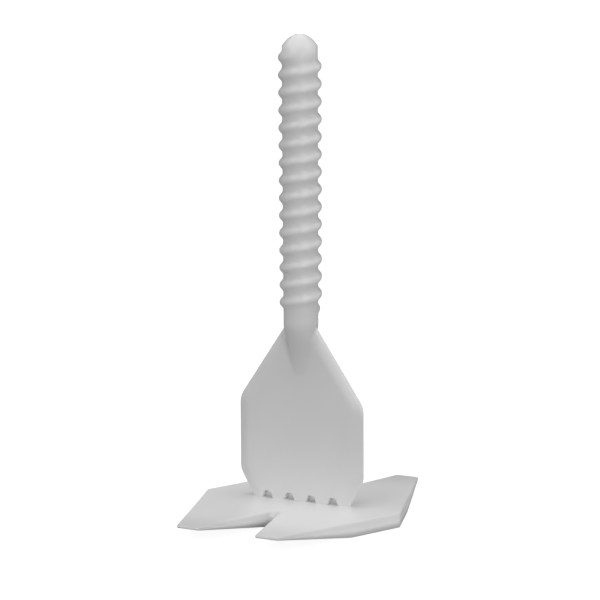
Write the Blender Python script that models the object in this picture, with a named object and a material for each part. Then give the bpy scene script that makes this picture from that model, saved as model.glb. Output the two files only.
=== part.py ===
"""Tile levelling clip, moulded in one piece.

A four-fingered base plate goes under the tiles, a thin web stands in the joint between them, and a
coarse threaded stem above the web takes the levelling cap. The web snaps off along a row of holes.
Metres, Z up, X along the web, origin at the bottom centre of the base plate.
"""
import math

import bmesh
import bpy
import numpy as np
from mathutils import Vector

MM = 0.001

# Base plate, seen from above: two side corners on X, four fingers along Y, one notch between each pair
BASE_THICKNESS = 2.7 * MM
BASE_SIDE_X = 19.1 * MM
FINGER_REACH_Y = 25.85 * MM
FINGER_OUTER_X = 9.65 * MM
FINGER_INNER_X = 5.4 * MM
FINGER_TIP_THICKNESS = 0.45 * MM
FINGER_RAMP_START_Y = 10.2 * MM
NOTCH_END_Y = 9.0 * MM
NOTCH_END_RADIUS = 1.15 * MM
BASE_TOP_ROUNDING = 0.3 * MM
BASE_BOTTOM_ROUNDING = 0.15 * MM

# Web, heights above the base plate's top
WEB_WIDTH = 24.2 * MM
WEB_THICKNESS = 1.5 * MM
WEB_FOOT_WIDTH = 19.2 * MM
WEB_FOOT_CHAMFER_HEIGHT = 4.55 * MM
WEB_SHOULDER_HEIGHT = 17.5 * MM
WEB_SHOULDER_RADIUS = 4.0 * MM
WEB_EDGE_SOFTENING = 2.2 * MM

# Stem, heights above the base plate's top
NECK_HEIGHT = 30.7 * MM
NECK_RADIUS = 3.05 * MM
STEM_TIP_RADIUS = 3.18 * MM
STEM_HEIGHT = 80.9 * MM
NECK_CONE_LENGTH = 11.6 * MM
NECK_CONE_BLEND_WIDTH = 1.2
NECK_CONE_FOOT_RADIUS = 0.7 * MM
TIP_CHAMFER = 2.1 * MM
TIP_CHAMFER_BULGE = 0.15
TIP_FLAT_RADIUS = 0.9 * MM

# Thread, right-handed, one start
THREAD_PITCH = 3.0 * MM
THREAD_RIDGE_HEIGHT = 0.65 * MM
THREAD_START_ABOVE_NECK = 2.5 * MM
THREAD_END_BELOW_TIP = 3.21 * MM
THREAD_TO_TIP_CHAMFER = 0.1 * MM
THREAD_RUN_OUT_TURNS = 0.14
THREAD_CREST_FULLNESS = 1.23

# The thread's crest climbs from the first of these heights to the last, one pitch a turn
THREAD_START_HEIGHT = NECK_HEIGHT + THREAD_START_ABOVE_NECK
THREAD_TURNS = (STEM_HEIGHT - THREAD_END_BELOW_TIP - THREAD_START_HEIGHT) / THREAD_PITCH

# Snap-off holes along the web's foot
HOLE_COUNT = 4
HOLE_SPACING = 4.3 * MM
HOLE_FOOT_WIDTH = 1.75 * MM
HOLE_CROWN_WIDTH = 1.15 * MM
HOLE_CROWN_ROUNDING = 0.4 * MM
HOLE_HEIGHT = 1.2 * MM

# How finely the round forms are cut
STEPS_ROUND = 32
STEPS_ACROSS_RIDGE = 7
STEPS_SHOULDER = 4
STEPS_CONE = 12
STEPS_INSIDE_CONE = 3
STEPS_TIP = 5
STEPS_NOTCH_END = 4
STEPS_HOLE_CROWN = 4

# How far joined shapes run into each other, and cutters run past what they cut
OVERLAP = 1.0 * MM


def clear_scene():
    """Remove every object, so that the model stands alone."""
    for item in list(bpy.data.objects):
        bpy.data.objects.remove(item, do_unlink=True)


def plastic(name, colour, roughness):
    """A moulded plastic with a satin surface."""
    material = bpy.data.materials.new(name)
    material.use_nodes = True
    shader = material.node_tree.nodes["Principled BSDF"]
    shader.inputs["Base Color"].default_value = (*colour, 1.0)
    shader.inputs["Roughness"].default_value = roughness
    shader.inputs["Metallic"].default_value = 0.0
    return material


def add_object(name, bm, material):
    """Put a bmesh into the scene as a smooth-shaded object with its faces pointing out."""
    bmesh.ops.recalc_face_normals(bm, faces=bm.faces)
    mesh = bpy.data.meshes.new(name)
    bm.to_mesh(mesh)
    bm.free()
    mesh.materials.append(material)
    mesh.shade_smooth()
    mesh.set_sharp_from_angle(angle=math.radians(35))
    item = bpy.data.objects.new(name, mesh)
    bpy.context.scene.collection.objects.link(item)
    return item


def as_guide(item):
    """Keep an object as a cutter or a joined shape that isn't a part of its own."""
    item.hide_render = True
    item.display_type = "WIRE"


def add_boolean(item, other, operation):
    """Join another solid to an object, or cut it away, as a live modifier."""
    modifier = item.modifiers.new(f"{operation.lower()} {other.name}", "BOOLEAN")
    modifier.operation = operation
    modifier.solver = "EXACT"
    modifier.object = other


def line_x(start, end, y):
    """X where the straight line between two points of the outline crosses a given Y."""
    return start[0] + (end[0] - start[0]) * (y - start[1]) / (end[1] - start[1])


def notch_end():
    """Half of the notch's round end, from its straight side to the Y axis.

    The side leaves the inner finger tip and touches the arc, so the turn of the arc comes from the
    angle between the tip and the arc's centre.
    """
    centre_y = NOTCH_END_Y + NOTCH_END_RADIUS
    reach = math.hypot(FINGER_INNER_X, FINGER_REACH_Y - centre_y)
    towards_tip = math.atan2(FINGER_REACH_Y - centre_y, FINGER_INNER_X)
    touch = towards_tip - math.acos(NOTCH_END_RADIUS / reach)
    angles = np.linspace(touch, -math.pi / 2, STEPS_NOTCH_END + 1)
    return [(NOTCH_END_RADIUS * math.cos(a), centre_y + NOTCH_END_RADIUS * math.sin(a)) for a in angles]


def base_outline():
    """Outline of the base plate as an anticlockwise loop, the same in all four quarters."""
    side = (BASE_SIDE_X, 0.0)
    outer_tip = (FINGER_OUTER_X, FINGER_REACH_Y)
    inner_tip = (FINGER_INNER_X, FINGER_REACH_Y)
    arc = notch_end()
    ramp = FINGER_RAMP_START_Y
    quarter = [side, (line_x(side, outer_tip, ramp), ramp), outer_tip, inner_tip]
    if arc[0][1] < ramp:
        quarter.append((line_x(inner_tip, arc[0], ramp), ramp))
    quarter += arc
    upper = quarter + [(-x, y) for x, y in quarter[-2::-1]]
    return upper + [(x, -y) for x, y in upper[-2:0:-1]]


def plate_thickness(y):
    """Thickness of the base plate at a given Y: full in the middle, ramped up to the thin finger tips."""
    along = (abs(y) - FINGER_RAMP_START_Y) / (FINGER_REACH_Y - FINGER_RAMP_START_Y)
    return BASE_THICKNESS + (FINGER_TIP_THICKNESS - BASE_THICKNESS) * min(max(along, 0.0), 1.0)


def corner_push(outline, index):
    """How far a corner of the outline moves for each metre that both its edges move inwards."""
    here = Vector(outline[index])
    before = here - Vector(outline[index - 1])
    after = Vector(outline[(index + 1) % len(outline)]) - here
    normal_before = Vector((before.y, -before.x)).normalized()
    normal_after = Vector((after.y, -after.x)).normalized()
    return -(normal_before + normal_after) / (1.0 + normal_before.dot(normal_after))


def base_plate(material):
    """The base plate as a stack of outlines, with its edges rounded in proportion to its thickness."""
    outline = base_outline()
    push = [corner_push(outline, i) for i in range(len(outline))]
    top, bottom = BASE_TOP_ROUNDING, BASE_BOTTOM_ROUNDING
    levels = [(0.0, top), (top * 0.3, top * 0.3), (top, 0.0)]
    levels += [(BASE_THICKNESS - bottom, 0.0), (BASE_THICKNESS, bottom)]
    bm = bmesh.new()
    rings = []
    for depth, inset in levels:
        ring = []
        for (x, y), shift in zip(outline, push):
            share = plate_thickness(y) / BASE_THICKNESS
            place = Vector((x, y)) + shift * inset * share
            ring.append(bm.verts.new((place.x, place.y, BASE_THICKNESS - depth * share)))
        rings.append(ring)
    for upper, lower in zip(rings, rings[1:]):
        for i in range(len(outline)):
            bm.faces.new((upper[i - 1], upper[i], lower[i], lower[i - 1]))
    bm.faces.new(rings[0])
    close_underside(bm, outline, rings[-1])
    return add_object("levelling_clip", bm, material)


def close_underside(bm, outline, ring):
    """Close the plate below with one flat middle and a sloping face under each finger."""
    reach = FINGER_RAMP_START_Y + 1e-7
    middle = [vert for (x, y), vert in zip(outline, ring) if abs(y) <= reach]
    bm.faces.new(middle)
    for side_x in (1, -1):
        for side_y in (1, -1):
            finger = [
                vert
                for (x, y), vert in zip(outline, ring)
                if x * side_x > 0 and y * side_y >= FINGER_RAMP_START_Y - 1e-7
            ]
            bm.faces.new(finger)


def stem_radius(height):
    """Radius of the stem's core, which widens slightly from the neck to the tip."""
    along = (height - NECK_HEIGHT) / (STEM_HEIGHT - NECK_HEIGHT)
    return NECK_RADIUS + (STEM_TIP_RADIUS - NECK_RADIUS) * along


def taper_slope():
    """How much narrower each half of the web gets for each metre of height above its shoulders."""
    return (WEB_WIDTH / 2 - NECK_RADIUS) / (NECK_HEIGHT - WEB_SHOULDER_HEIGHT)


def shoulder_run():
    """Height from the shoulder's corner down to where its rounding starts."""
    return WEB_SHOULDER_RADIUS * math.tan(math.atan(taper_slope()) / 2)


def web_half_width(height):
    """Half the web's width at a height: foot chamfer, straight side, round shoulder, taper to the neck."""
    half = WEB_WIDTH / 2
    arc_start = WEB_SHOULDER_HEIGHT - shoulder_run()
    arc_end = arc_start + WEB_SHOULDER_RADIUS * math.sin(math.atan(taper_slope()))
    if height <= WEB_FOOT_CHAMFER_HEIGHT:
        along = max(height, 0.0) / WEB_FOOT_CHAMFER_HEIGHT
        return WEB_FOOT_WIDTH / 2 + (half - WEB_FOOT_WIDTH / 2) * along
    if height <= arc_start:
        return half
    if height <= arc_end:
        return half - WEB_SHOULDER_RADIUS + math.sqrt(WEB_SHOULDER_RADIUS**2 - (height - arc_start) ** 2)
    return half - taper_slope() * (height - WEB_SHOULDER_HEIGHT)


def web_half_thickness(inset):
    """Half the web's thickness at a distance in from its edge: half an ellipse that runs into the flat."""
    along = np.clip(inset / WEB_EDGE_SOFTENING, 0.0, 1.0)
    return WEB_THICKNESS / 2 * np.sqrt(1.0 - (1.0 - along) ** 2)


def web_lean(height):
    """Angle between the web's side edge and the vertical, from its widths just above and just below."""
    step = 0.2 * MM
    return math.atan((web_half_width(height + step) - web_half_width(height - step)) / (2 * step))


def cone_radius(height):
    """Radius of the cone that runs from the round neck down into the web and ends there in a point."""
    return NECK_RADIUS * min(max(1.0 - (NECK_HEIGHT - height) / NECK_CONE_LENGTH, 0.0), 1.0)


def web_columns(height):
    """X of the points round one level of the web.

    They are spread like a circle's at the neck. Lower down the middle ones stay on the cone, and the
    others share the flat web beside it.
    """
    half = web_half_width(height)
    spread = np.cos(np.arange(STEPS_ROUND) * 2 * math.pi / STEPS_ROUND)
    limit = math.cos(math.pi / 2 - STEPS_INSIDE_CONE * 2 * math.pi / STEPS_ROUND)
    inner = min(half * limit, max(NECK_CONE_BLEND_WIDTH * cone_radius(height), NECK_CONE_FOOT_RADIUS))
    share = np.abs(spread)
    outer = inner + (half - inner) * (share - limit) / (1.0 - limit)
    return np.where(share <= limit, inner * share / limit, outer) * np.sign(np.round(spread, 6))


def web_ring(height):
    """One level of the web: a loop of points round the section, seen from above.

    The flat web and the cone run into each other softly: the fourth power of the half thickness is the
    sum of the fourth powers of theirs.
    """
    x = web_columns(height)
    side = np.sign(np.round(np.sin(np.arange(STEPS_ROUND) * 2 * math.pi / STEPS_ROUND), 6))
    flat = web_half_thickness((web_half_width(height) - np.abs(x)) * math.cos(web_lean(height)))
    cone_squared = np.maximum(cone_radius(height) ** 2 - x**2, 0.0)
    y = (flat**4 + cone_squared**2) ** 0.25 * side
    return [(a, b, BASE_THICKNESS + height) for a, b in zip(x, y)]


def web_levels():
    """Heights of the web's rings: foot, chamfer, shoulder rounding, taper and cone."""
    arc_start = WEB_SHOULDER_HEIGHT - shoulder_run()
    arc_end = arc_start + WEB_SHOULDER_RADIUS * math.sin(math.atan(taper_slope()))
    cone_start = NECK_HEIGHT - NECK_CONE_LENGTH
    levels = [-OVERLAP, 0.0, WEB_FOOT_CHAMFER_HEIGHT]
    levels += list(np.linspace(arc_start, arc_end, STEPS_SHOULDER + 1))
    levels += list(np.linspace(cone_start, NECK_HEIGHT, STEPS_CONE + 1)[:-1])
    return levels


def ring_at(radius, height):
    """A level circle round the stem."""
    angles = np.arange(STEPS_ROUND) * 2 * math.pi / STEPS_ROUND
    return [(radius * math.cos(a), radius * math.sin(a), BASE_THICKNESS + height) for a in angles]


def ridge_share(turn):
    """Share of the full ridge height, which rises from nothing at one run-out and fades at the other."""
    rise = np.clip(turn / THREAD_RUN_OUT_TURNS, 0.0, 1.0)
    fall = np.clip((THREAD_TURNS - turn) / THREAD_RUN_OUT_TURNS, 0.0, 1.0)
    share = np.minimum(rise, fall)
    return share * share * (3.0 - 2.0 * share)


def ridge_form(offset):
    """Ridge height from 1 on the crest to 0 in the groove, against the distance from the crest in pitches."""
    return 0.5 + 0.5 * math.cos(math.pi * min(2.0 * abs(offset), 1.0) ** THREAD_CREST_FULLNESS)


def thread_strip(bm):
    """The threaded surface as one helical strip, one pitch wide, whose turns share their edges.

    Returns the closed loop below its first turn and the one above its last turn. Each loop starts at
    the strip's end, where it steps up or down by one pitch.
    """
    count = int(round(THREAD_TURNS * STEPS_ROUND))
    top_limit = STEM_HEIGHT - TIP_CHAMFER - THREAD_TO_TIP_CHAMFER
    rows = []
    for i in range(count + 1):
        turn = i / STEPS_ROUND
        crest = THREAD_START_HEIGHT + THREAD_PITCH * turn
        low = crest - THREAD_PITCH / 2
        high = min(crest + THREAD_PITCH / 2, top_limit)
        row = []
        for j in range(STEPS_ACROSS_RIDGE + 1):
            if j == 0 and i >= STEPS_ROUND:
                row.append(rows[i - STEPS_ROUND][-1])
                continue
            height = low + (high - low) * j / STEPS_ACROSS_RIDGE
            offset = (height - crest) / THREAD_PITCH
            radius = stem_radius(height) + THREAD_RIDGE_HEIGHT * ridge_share(turn) * ridge_form(offset)
            angle = 2 * math.pi * turn
            across, along = radius * math.cos(angle), radius * math.sin(angle)
            row.append(bm.verts.new((across, along, BASE_THICKNESS + height)))
        rows.append(row)
    for near, far in zip(rows, rows[1:]):
        for j in range(STEPS_ACROSS_RIDGE):
            bm.faces.new((near[j], far[j], far[j + 1], near[j + 1]))
    below = [rows[i][0] for i in range(STEPS_ROUND)] + rows[0][:0:-1]
    above = [rows[i][-1] for i in range(count, count - STEPS_ROUND, -1)] + rows[count][:-1]
    return below, above, count % STEPS_ROUND


def join_level_ring(bm, ring, loop, start, step):
    """Close the band between a level ring and the loop at an end of the helical strip."""
    size = len(ring)
    for i in range(size - 1):
        a, b = ring[(start + step * i) % size], ring[(start + step * (i + 1)) % size]
        bm.faces.new((a, b, loop[i + 1], loop[i]))
    last, first = ring[(start + step * (size - 1)) % size], ring[start]
    bm.faces.new([last, first, loop[0]] + loop[:size - 2:-1])


def tip_rings():
    """Levels of the stem's tip: a convex chamfer that ends in a small flat."""
    rings = []
    for angle in np.linspace(0.0, math.pi / 2, STEPS_TIP + 1):
        bulge = TIP_CHAMFER_BULGE * math.sin(2 * angle) / 2
        along = angle / (math.pi / 2)
        radius = STEM_TIP_RADIUS + (TIP_FLAT_RADIUS - STEM_TIP_RADIUS) * (along - bulge)
        height = STEM_HEIGHT - TIP_CHAMFER * (1.0 - along - bulge)
        rings.append(ring_at(radius, height))
    return rings


def web_and_stem(material):
    """Web, neck, threaded stem and tip as one lofted solid."""
    bm = bmesh.new()
    lower = [web_ring(height) for height in web_levels()] + [ring_at(NECK_RADIUS, NECK_HEIGHT)]
    lower = [[bm.verts.new(place) for place in ring] for ring in lower]
    upper = [[bm.verts.new(place) for place in ring] for ring in tip_rings()]
    for rings in (lower, upper):
        for near, far in zip(rings, rings[1:]):
            for i in range(STEPS_ROUND):
                bm.faces.new((near[i - 1], near[i], far[i], far[i - 1]))
    below, above, end_step = thread_strip(bm)
    join_level_ring(bm, lower[-1], below, 0, 1)
    join_level_ring(bm, upper[0], above, end_step, -1)
    bm.faces.new(lower[0])
    bm.faces.new(upper[-1])
    return add_object("web_and_stem", bm, material)


def snap_hole_cutter(material):
    """The row of small arches at the web's foot, as one set of prisms that run through the web."""
    bm = bmesh.new()
    round_x, round_z = HOLE_CROWN_WIDTH / 2 - HOLE_CROWN_ROUNDING, HOLE_HEIGHT - HOLE_CROWN_ROUNDING
    half = [(HOLE_FOOT_WIDTH / 2, -2 * OVERLAP), (HOLE_FOOT_WIDTH / 2, 0.0)]
    for angle in np.linspace(0.0, math.pi / 2, STEPS_HOLE_CROWN + 1):
        across, up = math.cos(angle), math.sin(angle)
        half.append((round_x + HOLE_CROWN_ROUNDING * across, round_z + HOLE_CROWN_ROUNDING * up))
    arch = half + [(-x, z) for x, z in reversed(half)]
    for index in range(HOLE_COUNT):
        centre = (index - (HOLE_COUNT - 1) / 2) * HOLE_SPACING
        front = WEB_THICKNESS / 2 + OVERLAP
        face = bm.faces.new([bm.verts.new((centre + x, -front, BASE_THICKNESS + z)) for x, z in arch])
        grown = bmesh.ops.extrude_face_region(bm, geom=[face])
        moved = [item for item in grown["geom"] if isinstance(item, bmesh.types.BMVert)]
        bmesh.ops.translate(bm, vec=(0.0, 2 * front, 0.0), verts=moved)
    return add_object("snap_hole_cutter", bm, material)


def main():
    clear_scene()
    material = plastic("white_moulded_polypropylene", (0.68, 0.68, 0.68), 0.35)
    clip = base_plate(material)
    upright = web_and_stem(material)
    cutter = snap_hole_cutter(material)
    as_guide(upright)
    as_guide(cutter)
    add_boolean(upright, cutter, "DIFFERENCE")
    add_boolean(clip, upright, "UNION")


main()
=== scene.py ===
"""Tile levelling clip: the fine moulded surfaces, their finish, and a small studio round them.

Metres, Z up, X along the web, origin at the bottom centre of the base plate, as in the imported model.
"""
import math

import bpy
import numpy as np
from bpy.props import FloatProperty, FloatVectorProperty, IntProperty, PointerProperty, StringProperty
from mathutils import Matrix, Vector


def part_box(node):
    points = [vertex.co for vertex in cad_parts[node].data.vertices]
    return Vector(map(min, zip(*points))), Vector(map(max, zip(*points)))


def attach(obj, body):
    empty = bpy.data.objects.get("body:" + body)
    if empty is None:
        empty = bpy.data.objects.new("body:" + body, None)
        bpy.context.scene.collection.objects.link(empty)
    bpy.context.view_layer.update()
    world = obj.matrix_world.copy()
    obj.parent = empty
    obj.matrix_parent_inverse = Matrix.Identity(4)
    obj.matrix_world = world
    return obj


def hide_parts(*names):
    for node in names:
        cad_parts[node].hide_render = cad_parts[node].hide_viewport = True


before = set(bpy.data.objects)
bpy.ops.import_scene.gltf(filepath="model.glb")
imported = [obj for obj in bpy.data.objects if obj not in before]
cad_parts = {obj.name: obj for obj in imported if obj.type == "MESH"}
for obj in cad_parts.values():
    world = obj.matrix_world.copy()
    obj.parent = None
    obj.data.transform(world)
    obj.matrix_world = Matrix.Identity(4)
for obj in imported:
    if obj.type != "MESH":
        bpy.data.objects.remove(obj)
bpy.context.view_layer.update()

bl_info = {
    "name": "Tile Levelling Clip",
    "version": (1, 0, 0),
    "blender": (4, 5, 0),
    "location": "View3D > Sidebar > Levelling Clip",
    "description": "Builds a one-piece moulded tile levelling clip and its studio",
    "category": "Mesh",
}

MM = 0.001
NODE = "levelling_clip"
NODE_LOW, NODE_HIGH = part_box(NODE)


def length(name, description, millimetres):
    """A length property whose default is written in millimetres."""
    return FloatProperty(
        name=name, description=description, default=millimetres * MM, unit="LENGTH", precision=5
    )


def degrees(name, description, value):
    """An angle property whose default is written in degrees."""
    return FloatProperty(name=name, description=description, default=math.radians(value), unit="ROTATION")


def number(name, description, default, low=0.0):
    """A plain number, such as a share or a number of turns."""
    return FloatProperty(name=name, description=description, default=default, min=low)


def count(name, description, default):
    """A whole number of at least two."""
    return IntProperty(name=name, description=description, default=default, min=2)


def hex_code(name, description, default):
    """A colour written as sRGB hex."""
    return StringProperty(name=name, description=description, default=default)


class BaseSizes(bpy.types.PropertyGroup):
    """Sizes of the forked base plate, seen from above and across its edges."""

    thickness: length("Thickness", "Full thickness in the middle", 2.7)
    finger_outer: length("Finger outer", "X of a finger tip's outer corner", 9.65)
    finger_inner: length("Finger inner", "X of a finger tip's inner corner", 5.4)
    tip_thickness: length("Tip thickness", "Thickness at the finger tips", 0.45)
    ramp_start: length("Ramp start", "Y where the underside starts to rise", 10.2)
    ramp_softness: length("Ramp softness", "Y over which the underside turns into its ramp", 0.6)
    notch_end: length("Notch end", "Y of the deepest point of a notch", 9.0)
    notch_radius: length("Notch radius", "Radius of the notch's round end", 1.15)
    corner_radius: length("Corner radius", "Radius of the corners, seen from above", 0.42)
    top_rounding: length("Top rounding", "Radius of the upper edge", 0.34)
    bottom_rounding: length("Bottom rounding", "Radius of the lower edge", 0.15)
    edge_reach: length("Edge reach", "How far in from its rounding the top's shading turns upright", 0.05)
    wall_top_rise: degrees("Wall top rise", "Slope of the shading normal at the wall's top", 80)
    wall_foot_rise: degrees("Wall foot rise", "Slope of the shading normal at the wall's foot", -20)
    steps_corner: count("Corner steps", "Points round each corner", 10)
    steps_side: count("Side steps", "Points along each straight side", 36)


class WebSizes(bpy.types.PropertyGroup):
    """Sizes of the thin upright web, with heights above the base plate's top."""

    width: length("Width", "Full width between the straight sides", 24.2)
    thickness: length("Thickness", "Thickness of the flat web, which sets the tile joint", 1.5)
    foot_width: length("Foot width", "Width where the web meets the base plate", 19.2)
    foot_chamfer: length("Foot chamfer", "Height over which the foot widens to the full width", 4.55)
    foot_softness: length("Foot softness", "How softly the foot chamfer turns upright", 0.35)
    shoulder_height: length("Shoulder height", "Height of the shoulder's corner", 17.5)
    shoulder_radius: length("Shoulder radius", "Radius of the round shoulder", 4.0)
    bevel_start: length("Bevel start", "How far in from its edge the web starts to thin", 2.15)
    bevel_straight: length("Bevel straight", "How far in from the edge the bevel is straight", 0.95)
    bevel_slope: number("Bevel slope", "Thinning of each face along the bevel", 0.34)
    nose: length("Nose", "How far in from the edge its round nose reaches", 0.32)
    cone_length: length("Cone length", "Length of the cone that runs down from the neck", 11.6)
    cone_spread: number("Cone spread", "Reach of the cone in the shading, in its radii", 1.7, low=1.0)
    cone_swell: number("Cone swell", "Share of the cone's height that its shading keeps", 0.5)
    cone_lean: number("Cone lean", "How much more the cone faces down in its shading", 0.25)
    cone_blend: length("Cone blend", "Height over which the cone's shading turns soft", 3.0)
    sink: length("Sink", "How far the foot runs down into the base plate", 1.0)
    hole_spacing: length("Hole spacing", "Distance between the snap-off holes", 4.3)
    hole_foot: length("Hole foot", "Width of a snap-off hole at the base plate", 2.1)
    hole_crown: length("Hole crown", "Width of a snap-off hole at its top", 1.5)
    hole_rounding: length("Hole rounding", "Radius of a hole's upper corners", 0.4)
    hole_height: length("Hole height", "Height of a snap-off hole", 1.2)
    hole_count: count("Hole count", "Number of snap-off holes", 4)


class StemSizes(bpy.types.PropertyGroup):
    """Sizes of the neck, the threaded stem and its tip, with heights above the base plate's top."""

    neck_height: length("Neck height", "Height where the web ends and the round neck starts", 30.7)
    neck_radius: length("Neck radius", "Radius of the core at the neck", 2.99)
    tip_radius: length("Tip radius", "Radius of the core at the tip", 3.08)
    height: length("Height", "Height of the tip's flat", 80.80)
    tip_chamfer: length("Tip chamfer", "Height of the tip's chamfer", 1.95)
    tip_flat: length("Tip flat", "Radius of the flat on top", 0.9)
    tip_bulge: number("Tip bulge", "How far the tip's chamfer bulges", 0.15)
    pitch: length("Pitch", "Rise of the thread in one turn", 3.0)
    ridge: length("Ridge", "Height of the thread's ridge above the core", 0.65)
    ridge_half: length("Ridge half", "Half the width of the ridge, beside which the core shows", 1.24)
    thread_start: length("Thread start", "Height where the crest's helix crosses the X axis", 33.15)
    first_turn: number("First turn", "Turns after that height where the thread starts", 0.10)
    turns: number("Turns", "Turns after that height where the thread ends", 14.83, low=1.0)
    run_in: number("Run-in", "Turns over which the lower end rises", 0.05, low=0.01)
    run_out: number("Run-out", "Turns over which the upper end fades", 0.16, low=0.01)
    crest_fullness: number("Crest fullness", "1 gives a cosine ridge, more a fuller crest", 1.28, low=0.5)
    upper_flank: number("Upper flank", "Share of a ridge's upper slope that the shading keeps", 0.38)
    lower_flank: number("Lower flank", "Share of a ridge's lower slope that the shading keeps", 0.2)
    crest_shift: length("Crest shift", "How far the shading draws the upper flanks down", 0.6)
    tip_softness: length("Tip softness", "Length below the chamfer where the shading turns up", 2.8)
    tip_rise: degrees("Tip rise", "Slope of the shading normal at the tip's flat", 40)
    steps_face: count("Face steps", "Columns across each face of the web and half of the stem", 96)
    steps_height: count("Height steps", "Rings along the threaded stem", 360)


class FinishValues(bpy.types.PropertyGroup):
    """Colours and gloss of the moulded plastic."""

    colour: hex_code("Colour", "Body colour of the plastic, sRGB hex", "#D9D9D9")
    colour_shade: hex_code("Flow shade", "Deeper colour where the melt flowed last, sRGB hex", "#D3D3D3")
    # Painted shade: the tip shade is a greyer colour that stands in for the darker shading of the finger
    # tips
    painted_tip_shade: hex_code("Tip shade", "Colour of the thin, translucent finger tips, sRGB hex", "#C6C6C6")
    tip_shade_start: length("Tips start", "Distance from the web where the fingers start to turn greyer", 15.0)
    roughness: number("Roughness", "Gloss of the mould's polish", 0.34)
    gloss_spread: number("Gloss spread", "How much the clouding changes the roughness", 0.03)
    flow_size: length("Flow size", "Size of the faint clouding left by the melt's flow", 9.0)
    grain_size: length("Grain size", "Size of the mould's texture, as coarse as the render shows", 0.35)
    grain_depth: length("Grain depth", "Depth of the mould's fine texture", 0.004)


class StageValues(bpy.types.PropertyGroup):
    """The camera, the floor and the room."""

    camera_place: FloatVectorProperty(
        name="Camera place",
        description="Where the camera stands",
        default=(0.23169, -0.41958, 0.11434),
        unit="LENGTH",
    )
    camera_turn: degrees("Camera turn", "Turn of the view to the left of +Y", 28.925)
    camera_pitch: degrees("Camera pitch", "Slope of the view below the horizon", 9.058)
    camera_roll: degrees("Camera roll", "Roll about the line of sight", -0.272)
    lens: number("Lens", "Focal length in millimetres on a 36 mm sensor", 169.53, low=1.0)
    floor_size: length("Floor size", "Side of the floor", 12000.0)
    floor_colour: hex_code("Floor colour", "Colour of the floor under the lamps, sRGB hex", "#6C6C6C")
    floor_mirrored: number("Floor mirrored", "Share of the floor's glow that reflections show", 0.2)
    room_light: number("Room light", "Strength of the plain light that the room casts", 0.14)


# Lamp name, azimuth and elevation in degrees, distance, width and height in metres, watts, and
# whether the plastic shows its highlight
LAMPS = (
    ("soft_box_above", 0, 90, 0.9, 0.50, 0.50, 4.35, True),
    ("soft_box_key", 45, 12, 1.3, 0.80, 0.50, 4.8, True),
    ("soft_box_front", 350, 28, 1.3, 0.90, 0.60, 5.0, True),
    ("soft_box_left", 290, 42, 1.3, 0.70, 0.50, 3.1, True),
    ("soft_box_right", 88, 26, 1.3, 0.70, 0.50, 3.4, True),
    ("soft_box_back_right", 130, 12, 1.3, 0.70, 0.50, 2.6, True),
    ("soft_box_behind", 205, 8, 1.3, 0.80, 0.50, 4.0, False),
)
# Card name, its two ends in degrees round the clip, and its brightness in reflections
CARDS = (("black_card", 115.0, 325.0, 0.15), ("grey_card", 325.0, 475.0, 0.7))
CARD_RADIUS, CARD_HEIGHT = 1.6, 1.4
CARD_COLUMNS, CARD_LEVELS = 43, 5
# The floor's glow, from close to the clip to far from it, and the distances in metres
GLOW_NEAR, GLOW_FAR = 0.94, 1.02
NEAR, FAR = 0.05, 0.6

# Edges that turn more than this stay sharp in the shading, where no normals are given
SHARP_ANGLE = math.radians(35)
# The range that the flow's noise mostly covers, and how strongly the grain tilts the surface
FLOW_LOW, FLOW_HIGH = 0.3, 0.7
BUMP_STRENGTH = 0.25

# How finely the base plate is cut: the sizes of the rings on its underside, and the steps up its edge
UNDERSIDE_RINGS = np.linspace(0.08, 0.96, 12)
BOTTOM_ROUNDING_STEPS, WALL_STEPS, TOP_ROUNDING_STEPS = 3, 12, 7
UNDERSIDE_MARGIN = 1.3  # the last level ring stands this many roundings in from the edge
TOP_TURN = 0.5  # share of the turn from the wall's top to upright that the top rounding's shading takes
TOP_INNER_RING = 0.5  # size of the ring inside the top

# How finely the web is cut: its holes, its foot, and the levels between its bends up to the neck
ARCH_STEPS, GAP_POINTS, FOOT_STEPS = 4, 3, 6
LEVEL_STEPS = (2, 8, 13, 12, 45)
FOOT_BAND_TOP = 2.6 * MM  # height up to which the foot's columns are drawn sideways
FOOT_CLEARANCE = 0.2 * MM  # height over the holes where that starts
FOOT_SLIVER = 0.01 * MM  # width over which the edge drops beside a hole
FOOT_FOLLOWS = 0.78  # share of the foot's half width past which the columns follow its chamfer
FOOT_BEND = 2.5  # half the height of the bend over the chamfer, in foot softnesses
CONE_COLUMNS = 1.25  # half the width of the middle third of the columns, in cone radii
CONE_COLUMNS_LEAST = 0.7 * MM

# How finely the tip is cut: its chamfer and its flat
TIP_STEPS, FLAT_STEPS = 14, 3


def linear(hex_colour):
    """An sRGB hex colour as linear RGBA."""
    channels = [int(hex_colour[i : i + 2], 16) / 255 for i in (1, 3, 5)]
    return (*[c / 12.92 if c <= 0.04045 else ((c + 0.055) / 1.055) ** 2.4 for c in channels], 1.0)


def add_node(tree, kind, links=(), **settings):
    """Adds a node. Settings name its fields, or its sockets by in_ and their number from 0.

    Links are pairs of a socket and the output that goes into it.
    """
    node = tree.nodes.new(kind)
    for key, value in settings.items():
        if key.startswith("in_"):
            node.inputs[int(key[3:])].default_value = value
        else:
            setattr(node, key, value)
    for socket, source in links:
        tree.links.new(source, node.inputs[socket])
    return node


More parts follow.
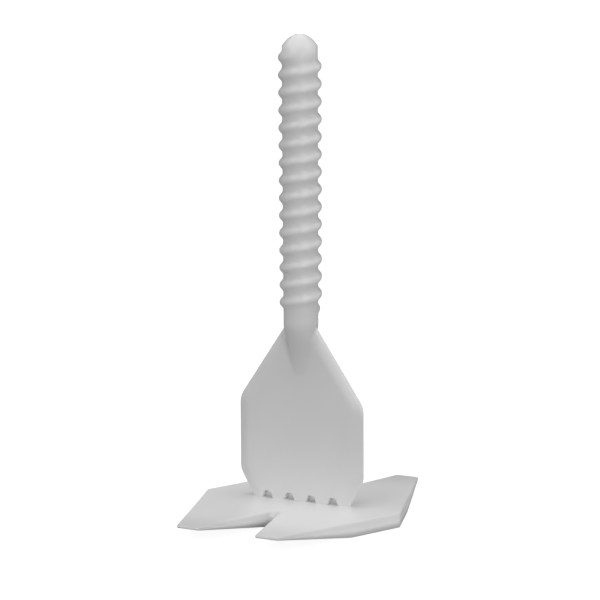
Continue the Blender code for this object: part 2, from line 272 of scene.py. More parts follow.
def surface_object(name, points, faces, material, normals=None):
    """A smooth-shaded object from an array of points and arrays of faces with 3 or 4 corners each.

    Given normals take the place of the mesh's own where they are not zero.
    """
    mesh = bpy.data.meshes.new(name)
    corners = np.concatenate([part.ravel() for part in faces])
    sizes = np.concatenate([np.full(len(part), part.shape[1]) for part in faces])
    mesh.vertices.add(len(points))
    mesh.vertices.foreach_set("co", np.asarray(points, dtype=np.float32).ravel())
    mesh.loops.add(len(corners))
    mesh.loops.foreach_set("vertex_index", corners.astype(np.int32))
    mesh.polygons.add(len(sizes))
    mesh.polygons.foreach_set("loop_start", (np.cumsum(sizes) - sizes).astype(np.int32))
    mesh.update(calc_edges=True)
    mesh.validate()
    mesh.materials.append(material)
    mesh.shade_smooth()
    mesh.set_sharp_from_angle(angle=SHARP_ANGLE)
    if normals is not None:
        own = np.empty(3 * len(corners), dtype=np.float32)
        mesh.corner_normals.foreach_get("vector", own)
        wanted = normals[corners]
        given = np.abs(wanted).sum(axis=1, keepdims=True) > 0
        mesh.normals_split_custom_set(np.where(given, wanted, own.reshape(-1, 3)))
    item = bpy.data.objects.new(name, mesh)
    bpy.context.scene.collection.objects.link(item)
    return item


def ring_quads(rings, size):
    """Quads between neighbouring rings of a stack, where each ring is a closed loop of size points."""
    here = np.arange(rings - 1)[:, None] * size + np.arange(size)[None, :]
    along = np.arange(rings - 1)[:, None] * size + (np.arange(size)[None, :] + 1) % size
    return np.stack([here, along, along + size, here + size], axis=-1).reshape(-1, 4)


def fan(first, size, centre, upwards):
    """Triangles that close a ring of size points to one centre point, facing up or down."""
    here = first + np.arange(size)
    along = first + (np.arange(size) + 1) % size
    middle = np.full(size, centre)
    return np.stack([middle, here, along] if upwards else [middle, along, here], axis=-1)


def soft_step(value):
    """Smooth rise from 0 to 1 with level ends: three times the square less twice the cube."""
    value = np.clip(value, 0.0, 1.0)
    return value * value * (3.0 - 2.0 * value)


def soft_minimum(a, b, softness):
    """The smaller of two values, with the corner between them rounded by a parabola."""
    return np.minimum(a, b) - np.maximum(softness - np.abs(a - b), 0.0) ** 2 / (4.0 * softness)


def rounded_outline(corners, radii, steps_corner, steps_side):
    """An anticlockwise polygon with round corners, as points and outward normals.

    At each corner the two sides are touched by a circle. Its points are the circle's centre plus the
    radius times the first side's normal, turned by a rising share of the corner's turn, and the
    straight sides are shared out evenly.
    """
    before = corners - np.roll(corners, 1, axis=0)
    after = np.roll(before, -1, axis=0)
    before = before / np.linalg.norm(before, axis=1, keepdims=True)
    after = after / np.linalg.norm(after, axis=1, keepdims=True)
    turn = np.arctan2(before[:, 0] * after[:, 1] - before[:, 1] * after[:, 0], (before * after).sum(axis=1))
    reach = radii * np.tan(np.abs(turn) / 2)
    normal = np.stack([before[:, 1], -before[:, 0]], axis=-1)
    signed = (radii * np.sign(turn))[:, None]
    centre = corners - before * reach[:, None] - normal * signed
    angle = turn[:, None] * np.linspace(0.0, 1.0, steps_corner)[None, :]
    arc_normal = np.stack(
        [
            normal[:, None, 0] * np.cos(angle) - normal[:, None, 1] * np.sin(angle),
            normal[:, None, 0] * np.sin(angle) + normal[:, None, 1] * np.cos(angle),
        ],
        axis=-1,
    )
    arc = centre[:, None, :] + arc_normal * signed[:, :, None]
    share = np.linspace(0.0, 1.0, steps_side + 2)[1:-1, None]
    leave, arrive = arc[:, -1:, :], np.roll(arc[:, :1, :], -1, axis=0)
    side = leave * (1.0 - share[None]) + arrive * share[None]
    side_normal = np.repeat(arc_normal[:, -1:, :], steps_side, axis=1)
    points = np.concatenate([arc, side], axis=1).reshape(-1, 2)
    normals = np.concatenate([arc_normal, side_normal], axis=1).reshape(-1, 2)
    return points, normals


def base_corners(sizes):
    """Corners of the base plate from above, anticlockwise, with their radii.

    Each notch is a pointed V whose sides start at the inner finger tips and touch its round end. The
    V's point lies where those sides would meet.
    """
    reach_y, side_x = NODE_HIGH.y, NODE_HIGH.x
    centre_y = sizes.notch_end + sizes.notch_radius
    span = math.hypot(sizes.finger_inner, reach_y - centre_y)
    slope = math.atan2(sizes.finger_inner, reach_y - centre_y) - math.asin(sizes.notch_radius / span)
    point_y = reach_y - sizes.finger_inner / math.tan(slope)
    outer, inner = sizes.finger_outer, sizes.finger_inner
    tips = [(side_x, 0), (outer, reach_y), (inner, reach_y)]
    upper = np.array([*tips, (0, point_y), (-inner, reach_y), (-outer, reach_y)])
    small, round_end = sizes.corner_radius, sizes.notch_radius
    radii = np.array([small, small, small, round_end, small, small])
    return np.concatenate([upper, -upper]), np.concatenate([radii, radii])


def base_surface(sizes):
    """The base plate as rings, from the middle of its underside round its edge to the middle of its top.

    A ring is the rounded outline moved in along its normals. The underside's height is zero in the
    middle and rises in a straight ramp to the thin finger tips, with a soft turn between the two. The
    edge roundings are quarter circles, in proportion to the thickness there.

    The shading normals turn evenly down the wall, from near upright at its top to a little below level
    at its foot, as on a wall that bulges too little to show in the outline.
    """
    corners, radii = base_corners(sizes)
    outline, normals = rounded_outline(corners, radii, sizes.steps_corner, sizes.steps_side)
    full, thin, soft = sizes.thickness, sizes.tip_thickness, sizes.ramp_softness

    def underside(y):
        past = np.abs(y) - sizes.ramp_start
        along = np.maximum(past, 0.0) + np.maximum(soft - np.abs(past), 0.0) ** 2 / (4 * soft)
        return (full - thin) * along / (NODE_HIGH.y - sizes.ramp_start)

    def ring(inset, from_top=None, from_bottom=None):
        flat = outline - normals * (inset * share)[:, None]
        low = underside(flat[:, 1])
        height = full - from_top * share if from_top is not None else low + from_bottom * share
        return np.column_stack([flat, height])

    def lean(rise):
        return np.column_stack([normals * math.cos(rise), np.full(len(outline), math.sin(rise))])

    share = (full - underside(outline[:, 1])) / full
    top, bottom = sizes.top_rounding, sizes.bottom_rounding
    rings = []
    for scale in UNDERSIDE_RINGS:
        flat = outline * scale
        rings.append(np.column_stack([flat, underside(flat[:, 1])]))
    rings.append(ring(bottom * UNDERSIDE_MARGIN, from_bottom=0.0))
    for turn in np.linspace(0.0, math.pi / 2, BOTTOM_ROUNDING_STEPS + 1):
        rings.append(ring(bottom * (1 - math.sin(turn)), from_bottom=bottom * (1 - math.cos(turn))))
    shading = [np.zeros_like(ring) for ring in rings]
    wall = np.linspace(0.0, 1.0, WALL_STEPS + 1)[1:-1]
    low_edge, high_edge = rings[-1], ring(0.0, from_top=top)
    rings += [low_edge * (1 - along) + high_edge * along for along in wall]
    shading += [lean(sizes.wall_foot_rise * (1 - along) + sizes.wall_top_rise * along) for along in wall]
    shading[-len(wall) - 1] = lean(sizes.wall_foot_rise)
    to_upright = TOP_TURN * (math.pi / 2 - sizes.wall_top_rise)
    for turn in np.linspace(0.0, math.pi / 2, TOP_ROUNDING_STEPS + 1):
        rings.append(ring(top * (1 - math.cos(turn)), from_top=top * (1 - math.sin(turn))))
        shading.append(lean(sizes.wall_top_rise + to_upright * math.sin(turn)))
    rings.append(ring(top + sizes.edge_reach, from_top=0.0))
    rings.append(np.column_stack([outline * TOP_INNER_RING, np.full(len(outline), full)]))
    shading += [lean(math.pi / 2)] * 2
    points = np.concatenate(rings + [np.array([(0.0, 0.0, 0.0), (0.0, 0.0, full)])])
    shading = np.concatenate(shading + [np.array([(0.0, 0.0, -1.0), (0.0, 0.0, 1.0)])])
    size = len(outline)
    last = len(rings) * size
    faces = [ring_quads(len(rings), size), fan(0, size, last, False), fan(last - size, size, last + 1, True)]
    return points, faces, shading


def taper_slope(web, stem):
    """How much narrower each half of the web gets for each metre of height above its shoulders."""
    return (web.width / 2 - stem.neck_radius) / (stem.neck_height - web.shoulder_height)


def shoulder_span(web, stem):
    """Heights where the shoulder's arc starts and ends."""
    lean = math.atan(taper_slope(web, stem))
    start = web.shoulder_height - web.shoulder_radius * math.tan(lean / 2)
    return start, start + web.shoulder_radius * math.sin(lean)


def web_half_width(height, web, stem):
    """Half the web's width at a height: foot chamfer, upright side, round shoulder, straight taper."""
    half, foot = web.width / 2, web.foot_width / 2
    chamfer = foot + (half - foot) * np.maximum(height, 0.0) / web.foot_chamfer
    low = soft_minimum(chamfer, half, web.foot_softness)
    start, end = shoulder_span(web, stem)
    drop = np.clip(height - start, 0.0, web.shoulder_radius)
    arc = half - web.shoulder_radius + np.sqrt(web.shoulder_radius**2 - drop**2)
    taper = half - taper_slope(web, stem) * (height - web.shoulder_height)
    return np.where(height <= start, low, np.where(height <= end, arc, taper))


def edge_half_thickness(inset, web):
    """Half the web's thickness at a distance in from its edge.

    From the edge it rises in a quarter ellipse, the nose, then in a straight shallow bevel, whose slope
    falls evenly to nothing before the flat.
    """
    turn = web.bevel_start - web.bevel_straight
    to_flat = np.maximum(web.bevel_start - inset, 0.0)
    depth = np.where(inset < web.bevel_straight, to_flat - turn / 2, to_flat**2 / (2 * turn))
    nose = np.sqrt(1.0 - (1.0 - np.clip(inset / web.nose, 0.0, 1.0)) ** 2)
    return (web.thickness / 2 - web.bevel_slope * depth) * nose


def web_flat_depth(x, height, web, stem):
    """Half the web's depth at a point of its face, without the cone."""
    step = 0.1 * MM
    half = web_half_width(height, web, stem)
    widening = web_half_width(height + step, web, stem) - web_half_width(height - step, web, stem)
    return edge_half_thickness((half - np.abs(x)) * np.cos(np.arctan(widening / (2 * step))), web)


def web_half_depth(x, height, web, stem):
    """Half the web's depth at a point of its face.

    Its fourth power is the sum of the fourth powers of the flat's and the cone's, so that the two run
    into each other in a tight turn.
    """
    cone = np.sqrt(np.maximum(cone_radius(height, web, stem) ** 2 - x**2, 0.0))
    return (web_flat_depth(x, height, web, stem) ** 4 + cone**4) ** 0.25


def cone_swelling(x, height, web, stem):
    """Height of the cone over the flat as the shading takes it, spread out into a raised cosine."""
    radius = cone_radius(height, web, stem)
    share = np.minimum(np.abs(x) / np.maximum(web.cone_spread * radius, 0.01 * MM), 1.0)
    return np.maximum(radius - web.thickness / 2, 0.0) * (0.5 + 0.5 * np.cos(math.pi * share))


def web_soft_depth(x, height, web, stem):
    """Half the web's depth as its shading takes it, with the cone drawn wide and low."""
    return web_flat_depth(x, height, web, stem) + web.cone_swell * cone_swelling(x, height, web, stem)


def web_normals(x, height, side, web, stem):
    """Shading normals of the web's faces, from the slopes of its half depth.

    The slopes are differences over short spans. At the neck they are those of the true half depth, and
    further down those of the softer one, so that the cone fades into the flat without a line. There the
    cone also faces a little more downwards, by its height over the flat.
    """
    span_x, span_z, full_swelling = 0.30 * MM, 0.80 * MM, 1.2 * MM

    def slopes(depth):
        across = depth(x + span_x, height, web, stem) - depth(x - span_x, height, web, stem)
        upwards = depth(x, height + span_z, web, stem) - depth(x, height - span_z, web, stem)
        return np.stack([-across / (2 * span_x), side + np.zeros_like(x), -upwards / (2 * span_z)], axis=-1)

    share = soft_step((height - stem.neck_height + web.cone_blend) / web.cone_blend)[..., None]
    normals = slopes(web_half_depth) * share + slopes(web_soft_depth) * (1.0 - share)
    swelling = np.minimum(cone_swelling(x, height, web, stem) / full_swelling, 1.0)
    normals[..., 2] -= web.cone_lean * swelling * (1.0 - share[..., 0])
    return normals / np.linalg.norm(normals, axis=-1, keepdims=True)


def cone_radius(height, web, stem):
    """Radius of the cone that runs from the round neck down into the web and ends there in a point."""
    return stem.neck_radius * np.clip(1.0 - (stem.neck_height - height) / web.cone_length, 0.0, 1.0)


def web_columns(height, web, stem):
    """X of the points round each level of the web, one row for each height.

    They are spread like a circle's at the neck. Below it the middle third stays on the cone, and
    spreads out again under the cone's point.
    """
    spread = np.cos(np.arange(2 * stem.steps_face) * math.pi / stem.steps_face)[None, :]
    height = np.asarray(height)[:, None]
    half = web_half_width(height, web, stem)
    limit = 0.5  # the cosine of the middle third's end
    below = np.maximum(stem.neck_height - web.cone_length - height, 0.0)
    cone = np.maximum(CONE_COLUMNS * cone_radius(height, web, stem), CONE_COLUMNS_LEAST)
    inner = np.minimum(half * limit, cone + below)
    share = np.abs(spread)
    outer = inner + (half - inner) * (share - limit) / (1.0 - limit)
    return np.where(share <= limit, inner * share / limit, outer) * np.sign(np.round(spread, 9))


def arcade(web, stem):
    """The web's lower edge from its right end to its left: X and height, with the snap-off holes as arches.

    An arch rises from its foot in a straight side, turns over a quarter circle to its level crown, and
    comes down the same way. Between the arches the edge is sunk into the base plate.
    """
    foot, crown, rounding = web.hole_foot / 2, web.hole_crown / 2, web.hole_rounding
    turn = np.linspace(0.0, math.pi / 2, ARCH_STEPS + 1)
    shoulder_x = crown - rounding + rounding * np.cos(turn)
    shoulder_z = web.hole_height - rounding + rounding * np.sin(turn)
    side_x = np.concatenate([[foot + FOOT_SLIVER, foot, (foot + crown) / 2], shoulder_x])
    side_z = np.concatenate([[-web.sink, 0.0, (web.hole_height - rounding) / 2], shoulder_z])
    arch_x = np.concatenate([side_x, -side_x[::-1]])
    arch_z = np.concatenate([side_z, side_z[::-1]])
    centres = ((web.hole_count - 1) / 2 - np.arange(web.hole_count)) * web.hole_spacing
    between = np.linspace(0.0, 1.0, GAP_POINTS + 2)[1:-1]
    gap_start, gap_end = centres[:-1, None] + arch_x[-1], centres[1:, None] + arch_x[0]
    gaps = np.concatenate([gap_start * (1 - between) + gap_end * between, np.full((1, GAP_POINTS), np.nan)])
    middle_x = np.concatenate([centres[:, None] + arch_x[None, :], gaps], axis=1).ravel()
    arches_z = np.tile(arch_z, (web.hole_count, 1))
    gaps_z = np.full((web.hole_count, GAP_POINTS), -web.sink)
    middle_z = np.concatenate([arches_z, gaps_z], axis=1).ravel()
    keep = ~np.isnan(middle_x)  # there is no gap past the last arch
    middle_x, middle_z = middle_x[keep], middle_z[keep]
    ends = (stem.steps_face + 1 - len(middle_x)) // 2
    run = 1.0 - (1.0 - np.linspace(0.0, 1.0, ends + 1)[:-1]) ** 2
    end_x = web.foot_width / 2 + (middle_x[0] - web.foot_width / 2) * (1 - np.sqrt(1 - run))
    sunk = np.full(ends, -web.sink)
    return np.concatenate([end_x, middle_x, -end_x[::-1]]), np.concatenate([sunk, middle_z, sunk])


def arcade_normals(x, height, side):
    """Shading normals round the web's lower edge, as if the holes' rims were rounded.

    Each stands halfway between the way straight out of the web's face and the way square to the edge,
    which is the edge's own direction turned by a quarter.
    """
    along_x = (np.roll(x, -1) - np.roll(x, 1)) * side
    along_z = (np.roll(height, -1) - np.roll(height, 1)) * side
    reach = np.maximum(np.hypot(along_x, along_z), 1e-9)
    normals = np.stack([-along_z / reach, side, along_x / reach], axis=-1)
    return normals / np.maximum(np.linalg.norm(normals, axis=-1, keepdims=True), 1e-9)


def foot_rings(web, stem):
    """Rings of the web's foot, from the arcade up to a level line.

    The columns stand straight until they are past the holes, and are then drawn sideways, evenly with
    the height, to the columns above.
    """
    edge_x, edge_z = arcade(web, stem)
    edge_x = np.concatenate([edge_x, edge_x[-2:0:-1]])
    edge_z = np.concatenate([edge_z, edge_z[-2:0:-1]])
    past_holes = web.hole_height + FOOT_CLEARANCE
    rise = np.linspace(0.0, 1.0, FOOT_STEPS + 1)[:-1, None]
    straight = edge_z[None, :] * (1 - rise) + past_holes * rise
    drawn = past_holes + (FOOT_BAND_TOP - past_holes) * rise + np.zeros(edge_x.shape)
    height, draw = np.concatenate([straight, drawn]), np.concatenate([np.zeros_like(rise), rise])
    foot = web.foot_width / 2
    widen = soft_step((np.abs(edge_x) / foot - FOOT_FOLLOWS) / (1.0 - FOOT_FOLLOWS))
    half = web_half_width(height, web, stem)
    start_x = edge_x[None, :] + np.sign(edge_x)[None, :] * (half - foot) * widen[None, :]
    top_x = web_columns(np.array([FOOT_BAND_TOP]), web, stem)
    top_half = web_half_width(np.array([[FOOT_BAND_TOP]]), web, stem)
    return start_x * (1 - draw) + top_x * (half / top_half) * draw, height


def ridge_height(turn, height, stem):
    """Height of the thread's ridge over the core, for an angle in turns and a height.

    The crest rises by one pitch a turn. The ridge is a raised cosine of the distance from the nearest
    crest, made fuller by a power, and the bare core shows between two ridges. Each end of the thread
    fades smoothly.
    """
    wanted = (height - stem.thread_start) / stem.pitch
    whole = np.round(wanted - turn)
    offset = np.abs(wanted - turn - whole)
    along = whole + turn
    rising, fading = (along - stem.first_turn) / stem.run_in, (stem.turns - along) / stem.run_out
    share = np.minimum(offset * stem.pitch / stem.ridge_half, 1.0)
    form = 0.5 + 0.5 * np.cos(math.pi * share**stem.crest_fullness)
    return stem.ridge * soft_step(np.minimum(rising, fading)) * form


def stem_rings(stem, stem_height):
    """X, Y and height of the rings from the neck to the tip's flat.

    The core's radius grows evenly from the neck to the tip, with the thread's ridge on it. The tip is a
    chamfer that bulges by a sine, and its radius and height follow the same rising share.
    """
    turn = np.arange(2 * stem.steps_face) * math.pi / stem.steps_face
    thread_top = stem_height - stem.tip_chamfer
    height = np.linspace(stem.neck_height, thread_top, stem.steps_height)[1:]
    core = np.interp(height, [stem.neck_height, stem_height], [stem.neck_radius, stem.tip_radius])
    radius = core[:, None] + ridge_height(turn[None, :] / (2 * math.pi), height[:, None], stem)
    share = np.linspace(0.0, 1.0, TIP_STEPS + 1)[1:]
    bulge = stem.tip_bulge * np.sin(math.pi * share) / 2
    tip_radius = core[-1] + (stem.tip_flat - core[-1]) * (share - bulge)
    tip_height = stem_height - stem.tip_chamfer * (1.0 - share - bulge)
    inwards = np.linspace(1.0, 0.0, FLAT_STEPS + 1)[1:-1]
    tip_radius = np.concatenate([tip_radius, stem.tip_flat * inwards])
    tip_height = np.concatenate([tip_height, np.full(len(inwards), stem_height)])
    radius = np.concatenate([radius, np.repeat(tip_radius[:, None], len(turn), axis=1)])
    height = np.concatenate([height, tip_height])[:, None] + np.zeros((1, len(turn)))
    return radius * np.cos(turn), radius * np.sin(turn), height


def stem_normals(x, y, z, web, stem):
    """Shading normals of the stem's rings.

    They stand square to both directions of the surface, drawn part of the way level, which softens the
    ridges, and most on their lower flanks. Each is averaged with the one a little higher up, which draws
    the light of the upper flanks down over the crests. Towards the tip's flat they rise evenly with the
    height, as on a dome, and at the neck they lean as the cone's normals do.
    """
    points = np.stack([x, y, z], axis=-1)
    around = np.roll(points, -1, axis=1) - np.roll(points, 1, axis=1)
    normals = np.cross(around, np.gradient(points, axis=0))
    normals /= np.maximum(np.linalg.norm(normals, axis=-1, keepdims=True), 1e-12)
    normals[..., 2] *= np.where(normals[..., 2] > 0, stem.upper_flank, stem.lower_flank)
    shift = round(stem.crest_shift / (z[1, 0] - z[0, 0]))
    normals = normals + normals[np.minimum(np.arange(len(z)) + shift, len(z) - 1)]
    normals /= np.linalg.norm(normals, axis=-1, keepdims=True)
    span = 1.0 * MM
    widening = cone_radius(z + span, web, stem) - cone_radius(z - span, web, stem)
    normals[..., 2] -= widening / (2 * span)
    tip_start = z.max() - stem.tip_chamfer
    turn = np.arange(x.shape[1]) * 2 * math.pi / x.shape[1]
    past = z - tip_start + stem.tip_softness
    rise = stem.tip_rise * np.clip(past / (stem.tip_chamfer + stem.tip_softness), 0.0, 1.0)
    dome = np.stack([np.cos(turn) * np.cos(rise), np.sin(turn) * np.cos(rise), np.sin(rise)], axis=-1)
    share = soft_step(past / stem.tip_softness)[..., None]
    normals = normals * (1.0 - share) + dome * share
    return normals / np.linalg.norm(normals, axis=-1, keepdims=True)


def web_and_stem_surface(base, web, stem):
    """Web, neck, threaded stem and tip as one stack of rings, closed below across the web's thickness."""
    size = 2 * stem.steps_face
    stem_height = min(stem.height, NODE_HIGH.z - base.thickness)
    side = np.sign(np.round(np.sin(np.arange(size) * math.pi / stem.steps_face), 9))
    foot_x, foot_z = foot_rings(web, stem)
    start, end = shoulder_span(web, stem)
    soft = web.foot_softness * FOOT_BEND
    bends = [FOOT_BAND_TOP, web.foot_chamfer - soft, web.foot_chamfer + soft, start, end, stem.neck_height]
    spans = zip(bends, bends[1:], LEVEL_STEPS)
    levels = [np.linspace(low, high, steps, endpoint=False) for low, high, steps in spans]
    levels = np.concatenate([*levels, [stem.neck_height]])
    web_x = web_columns(levels, web, stem)
    web_z = np.repeat(levels[:, None], size, axis=1)
    low_x, low_z = np.concatenate([foot_x, web_x]), np.concatenate([foot_z, web_z])
    low_y = web_half_depth(low_x, low_z, web, stem) * side[None, :]
    high_x, high_y, high_z = stem_rings(stem, stem_height)
    x, y, z = (np.concatenate(pair) for pair in ((low_x, high_x), (low_y, high_y), (low_z, high_z)))
    rings = len(x)
    points = np.stack([x, y, z + base.thickness], axis=-1).reshape(-1, 3)
    points = np.concatenate([points, [(0.0, 0.0, stem_height + base.thickness)]])
    shading = np.zeros_like(points)
    neck = len(low_x) * size
    shading[:size] = arcade_normals(low_x[0], low_z[0], side)
    shading[size:neck] = web_normals(low_x[1:], low_z[1:], side[None, :], web, stem).reshape(-1, 3)
    shading[neck:-1] = stem_normals(high_x, high_y, high_z, web, stem).reshape(-1, 3)
    shading[-1] = (0.0, 0.0, 1.0)
    half = stem.steps_face
    k = np.arange(1, half - 1)
    ladder = np.stack([k, size - k, size - k - 1, k + 1], axis=-1)
    ends = np.array([(0, size - 1, 1), (half, half - 1, half + 1)])
    top = fan((rings - 1) * size, size, rings * size, True)
    return points, [ring_quads(rings, size), ladder, ends, top], shading


def moulded_polypropylene(finish):
    """White polypropylene, injection moulded in a polished steel mould.

    To the eye it is a soft, slightly milky white-grey with a broad satin sheen, a barely visible
    clouding from the melt's flow, and a fine bloom from the mould's surface that breaks up reflections.
    Towards the finger tips the colour turns a little greyer, as painted shade.
    """
    material = bpy.data.materials.new("satin_moulded_polypropylene")
    material.use_nodes = True
    tree = material.node_tree
    shader = tree.nodes["Principled BSDF"]
    shader.inputs["Metallic"].default_value = 0.0
    shader.inputs["IOR"].default_value = 1.49
    shader.inputs["Specular IOR Level"].default_value = 0.5
    shader.inputs["Subsurface Weight"].default_value = 0.15
    shader.inputs["Subsurface Radius"].default_value = (1.0, 1.0, 1.0)
    shader.inputs["Subsurface Scale"].default_value = 0.8 * MM
    place = add_node(tree, "ShaderNodeTexCoord").outputs["Object"]

    def noise(size, detail, roughness):
        links = [("Vector", place)]
        made = add_node(tree, "ShaderNodeTexNoise", links, in_2=1.0 / size, in_3=detail, in_4=roughness)
        return made.outputs["Fac"]

    flow = noise(finish.flow_size, detail=2.0, roughness=0.45)
    grain = noise(finish.grain_size, detail=3.0, roughness=0.5)
    shade, body, tips = (linear(code) for code in (finish.colour_shade, finish.colour, finish.painted_tip_shade))
    clouded = add_node(tree, "ShaderNodeMix", [(0, flow)], data_type="RGBA", in_6=shade, in_7=body)
    across = add_node(tree, "ShaderNodeSeparateXYZ", [(0, place)]).outputs["Y"]
    from_web = add_node(tree, "ShaderNodeMath", [(0, across)], operation="ABSOLUTE").outputs[0]
    # Painted shade: the colour turns greyer from the tip shade's start out to the finger tips
    tip_shade_share = add_node(
        tree,
        "ShaderNodeMapRange",
        [("Value", from_web)],
        interpolation_type="SMOOTHSTEP",
        in_1=finish.tip_shade_start,
        in_2=NODE_HIGH.y,
    ).outputs["Result"]
    links = [(0, tip_shade_share), (6, clouded.outputs[2])]
    colour = add_node(tree, "ShaderNodeMix", links, data_type="RGBA", in_7=tips).outputs[2]
    gloss = add_node(
        tree,
        "ShaderNodeMapRange",
        [("Value", flow)],
        in_1=FLOW_LOW,
        in_2=FLOW_HIGH,
        in_3=finish.roughness - finish.gloss_spread,
        in_4=finish.roughness + finish.gloss_spread,
    ).outputs["Result"]
    links = [("Height", grain)]
    bump = add_node(tree, "ShaderNodeBump", links, in_0=BUMP_STRENGTH, in_1=finish.grain_depth)
    tree.links.new(colour, shader.inputs["Base Color"])
    tree.links.new(gloss, shader.inputs["Roughness"])
    tree.links.new(bump.outputs["Normal"], shader.inputs["Normal"])
    return material


def clip_material():
    """The clip's one material, made when the first piece asks for it."""
    return bpy.data.materials.get("satin_moulded_polypropylene") or moulded_polypropylene(
        bpy.context.scene.clip_finish
    )


def dress(piece):
    """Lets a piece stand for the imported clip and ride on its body."""
    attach(piece, "root")
    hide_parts(NODE)


def set_camera(values):
    """The camera, turned to the left of +Y, tipped down and rolled a little about its line of sight."""
    camera = bpy.data.objects.new("camera", bpy.data.cameras.new("camera"))
    bpy.context.scene.collection.objects.link(camera)
    turn = Matrix.Rotation(values.camera_turn, 4, "Z")
    pitch = Matrix.Rotation(math.pi / 2 - values.camera_pitch, 4, "X")
    roll = Matrix.Rotation(values.camera_roll, 4, "Z")
    camera.matrix_world = Matrix.Translation(values.camera_place) @ turn @ pitch @ roll
    camera.data.lens = values.lens
    camera.data.sensor_width = 36.0
    camera.data.clip_start, camera.data.clip_end = 0.01, 50.0
    bpy.context.scene.camera = camera


def seen_or_mirrored(tree, mirrored=1.0):
    """1 for rays straight from the camera or clear glass, a given share for mirrored ones, else 0."""
    path = add_node(tree, "ShaderNodeLightPath").outputs
    glossy = add_node(
        tree, "ShaderNodeMath", [(0, path["Is Glossy Ray"])], operation="MULTIPLY", in_1=mirrored
    ).outputs[0]
    links = [(0, path["Is Camera Ray"]), (1, glossy)]
    either = add_node(tree, "ShaderNodeMath", links, operation="MAXIMUM").outputs[0]
    links = [(0, either), (1, path["Is Transmission Ray"])]
    return add_node(tree, "ShaderNodeMath", links, operation="MAXIMUM").outputs[0]


def area_lamp(name, azimuth, elevation, distance, width, height, watts):
    """A soft box that faces the clip's middle, from so many degrees right of the front and up."""
    data = bpy.data.lights.new(name, "AREA")
    data.shape = "RECTANGLE"
    data.size, data.size_y = width, height
    data.energy = watts
    lamp = bpy.data.objects.new(name, data)
    turn, rise = math.radians(azimuth), math.radians(elevation)
    away = Vector((math.sin(turn) * math.cos(rise), -math.cos(turn) * math.cos(rise), math.sin(rise)))
    middle = (NODE_LOW + NODE_HIGH) / 2
    lamp.location = middle + away * distance
    lamp.rotation_euler = (-away).to_track_quat("-Z", "Y").to_euler()
    lamp.visible_camera = False
    bpy.context.scene.collection.objects.link(lamp)
    return lamp


def flat_sheet(name, corners, material):
    """A flat sheet of the stage."""
    mesh = bpy.data.meshes.new(name)
    mesh.from_pydata(corners, [], [(0, 1, 2, 3)])
    mesh.materials.append(material)
    sheet = bpy.data.objects.new(name, mesh)
    bpy.context.scene.collection.objects.link(sheet)
    return sheet


def floor_material(values):
    """White paper sweep.

    To the eye it is evenly white, with the clip's faint shadow on it. Its own colour is kept low, so that
    little light comes up from it, and a glow that only the camera sees, and mirrors in part, makes it
    white. The glow rises with the distance from the clip, as the lamps' light on the paper falls.
    """
    material = bpy.data.materials.new("white_paper_sweep")
    material.use_nodes = True
    tree = material.node_tree
    tree.nodes.remove(tree.nodes["Principled BSDF"])
    paper = add_node(tree, "ShaderNodeBsdfDiffuse", in_0=linear(values.floor_colour)).outputs[0]
    place = add_node(tree, "ShaderNodeTexCoord").outputs["Object"]
    away = add_node(tree, "ShaderNodeVectorMath", [(0, place)], operation="LENGTH").outputs["Value"]
    level = add_node(
        tree, "ShaderNodeMapRange", [("Value", away)], in_1=NEAR, in_2=FAR, in_3=GLOW_NEAR, in_4=GLOW_FAR
    ).outputs["Result"]
    seen = seen_or_mirrored(tree, values.floor_mirrored)
    strength = add_node(tree, "ShaderNodeMath", [(0, seen), (1, level)], operation="MULTIPLY").outputs[0]
    glow = add_node(tree, "ShaderNodeEmission", [(1, strength)]).outputs[0]
    both = add_node(tree, "ShaderNodeAddShader", [(0, paper), (1, glow)]).outputs[0]
    tree.links.new(both, tree.nodes["Material Output"].inputs["Surface"])
    return material


def mirror_card(name, start, end, brightness):
    """A curved card round the clip that only its reflections show, from one turn to another.

    It is a part of a cylinder round the Z axis. A dark card takes the white of the room out of what the
    clip's smooth plastic mirrors, as black and grey cards do beside a white product.
    """
    turn = np.radians(np.linspace(start, end, CARD_COLUMNS))
    level = np.linspace(0.0, CARD_HEIGHT, CARD_LEVELS)[:, None]
    ring = np.stack([np.sin(turn), -np.cos(turn)], axis=-1) * CARD_RADIUS
    points = np.concatenate(
        [np.repeat(ring[None], len(level), axis=0), np.repeat(level[:, None], len(turn), axis=1)], axis=-1
    ).reshape(-1, 3)
    here = (np.arange(len(level) - 1)[:, None] * len(turn) + np.arange(len(turn) - 1)[None, :]).ravel()
    faces = np.stack([here, here + 1, here + 1 + len(turn), here + len(turn)], axis=-1)
    material = bpy.data.materials.new(name)
    material.use_nodes = True
    tree = material.node_tree
    tree.nodes.remove(tree.nodes["Principled BSDF"])
    glow = add_node(tree, "ShaderNodeEmission", in_1=brightness).outputs[0]
    tree.links.new(glow, tree.nodes["Material Output"].inputs["Surface"])
    card = surface_object(name, points, [faces], material)
    card.visible_camera = card.visible_diffuse = card.visible_shadow = card.visible_transmission = False


def set_world(values):
    """A white room to the camera and in reflections, and a plain soft grey light for everything else."""
    world = bpy.data.worlds.new("white_room")
    bpy.context.scene.world = world
    world.use_nodes = True
    tree = world.node_tree
    light = tree.nodes["Background"]
    light.inputs["Color"].default_value = (1.0, 1.0, 1.0, 1.0)
    links = [("Value", seen_or_mirrored(tree))]
    strength = add_node(tree, "ShaderNodeMapRange", links, in_3=values.room_light, in_4=1.0)
    tree.links.new(strength.outputs["Result"], light.inputs["Strength"])


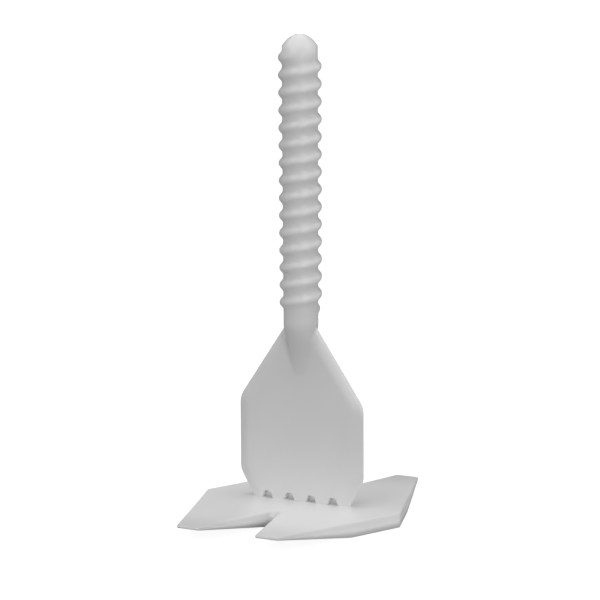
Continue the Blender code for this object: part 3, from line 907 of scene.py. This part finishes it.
class CLIP_OT_stage(bpy.types.Operator):
    """Set the camera, the pale floor, the room and the soft lamps"""

    bl_idname = "levelling_clip.stage"
    bl_label = "Set Stage"

    def execute(self, context):
        values = context.scene.clip_stage
        set_camera(values)
        set_world(values)
        reach = values.floor_size / 2
        level = NODE_LOW.z - 0.02 * MM
        corners = [(x * reach, y * reach, level) for x, y in ((-1, -1), (1, -1), (1, 1), (-1, 1))]
        flat_sheet("floor", corners, floor_material(values))
        for card in CARDS:
            mirror_card(*card)
        for *lamp, highlight in LAMPS:
            area_lamp(*lamp).visible_glossy = highlight
        context.scene.view_settings.view_transform = "Standard"
        return {"FINISHED"}


class CLIP_OT_base_plate(bpy.types.Operator):
    """Build the forked base plate with its rounded edges and ramped fingers"""

    bl_idname = "levelling_clip.base_plate"
    bl_label = "Build Base Plate"

    def execute(self, context):
        points, faces, normals = base_surface(context.scene.clip_base)
        dress(surface_object("base_plate", points, faces, clip_material(), normals))
        return {"FINISHED"}


class CLIP_OT_web_and_stem(bpy.types.Operator):
    """Build the web with its snap-off holes, the neck, the threaded stem and its tip"""

    bl_idname = "levelling_clip.web_and_stem"
    bl_label = "Build Web and Stem"

    def execute(self, context):
        scene = context.scene
        points, faces, normals = web_and_stem_surface(scene.clip_base, scene.clip_web, scene.clip_stem)
        if len(points) > 100000:
            raise RuntimeError("the web and stem are cut too finely")
        dress(surface_object("web_and_stem", points, faces, clip_material(), normals))
        return {"FINISHED"}


class CLIP_PT_sidebar(bpy.types.Panel):
    """Sizes, finish and the operators, in the order in which they run"""

    bl_idname = "CLIP_PT_sidebar"
    bl_label = "Levelling Clip"
    bl_space_type = "VIEW_3D"
    bl_region_type = "UI"
    bl_category = "Levelling Clip"

    def draw(self, context):
        for operator in (CLIP_OT_stage, CLIP_OT_base_plate, CLIP_OT_web_and_stem):
            self.layout.operator(operator.bl_idname)
        for field, group in GROUPS.items():
            box = self.layout.box()
            box.label(text=group.__name__)
            for name in group.__annotations__:
                box.prop(getattr(context.scene, field), name)


GROUPS = {
    "clip_base": BaseSizes,
    "clip_web": WebSizes,
    "clip_stem": StemSizes,
    "clip_finish": FinishValues,
    "clip_stage": StageValues,
}
CLASSES = (*GROUPS.values(), CLIP_OT_stage, CLIP_OT_base_plate, CLIP_OT_web_and_stem, CLIP_PT_sidebar)


def register():
    for item in CLASSES:
        bpy.utils.register_class(item)
    for field, group in GROUPS.items():
        setattr(bpy.types.Scene, field, PointerProperty(type=group))


def unregister():
    for field in GROUPS:
        delattr(bpy.types.Scene, field)
    for item in reversed(CLASSES):
        bpy.utils.unregister_class(item)


def main():
    register()
    bpy.ops.levelling_clip.stage()
    bpy.ops.levelling_clip.base_plate()
    bpy.ops.levelling_clip.web_and_stem()


if __name__ == "__main__":
    main()
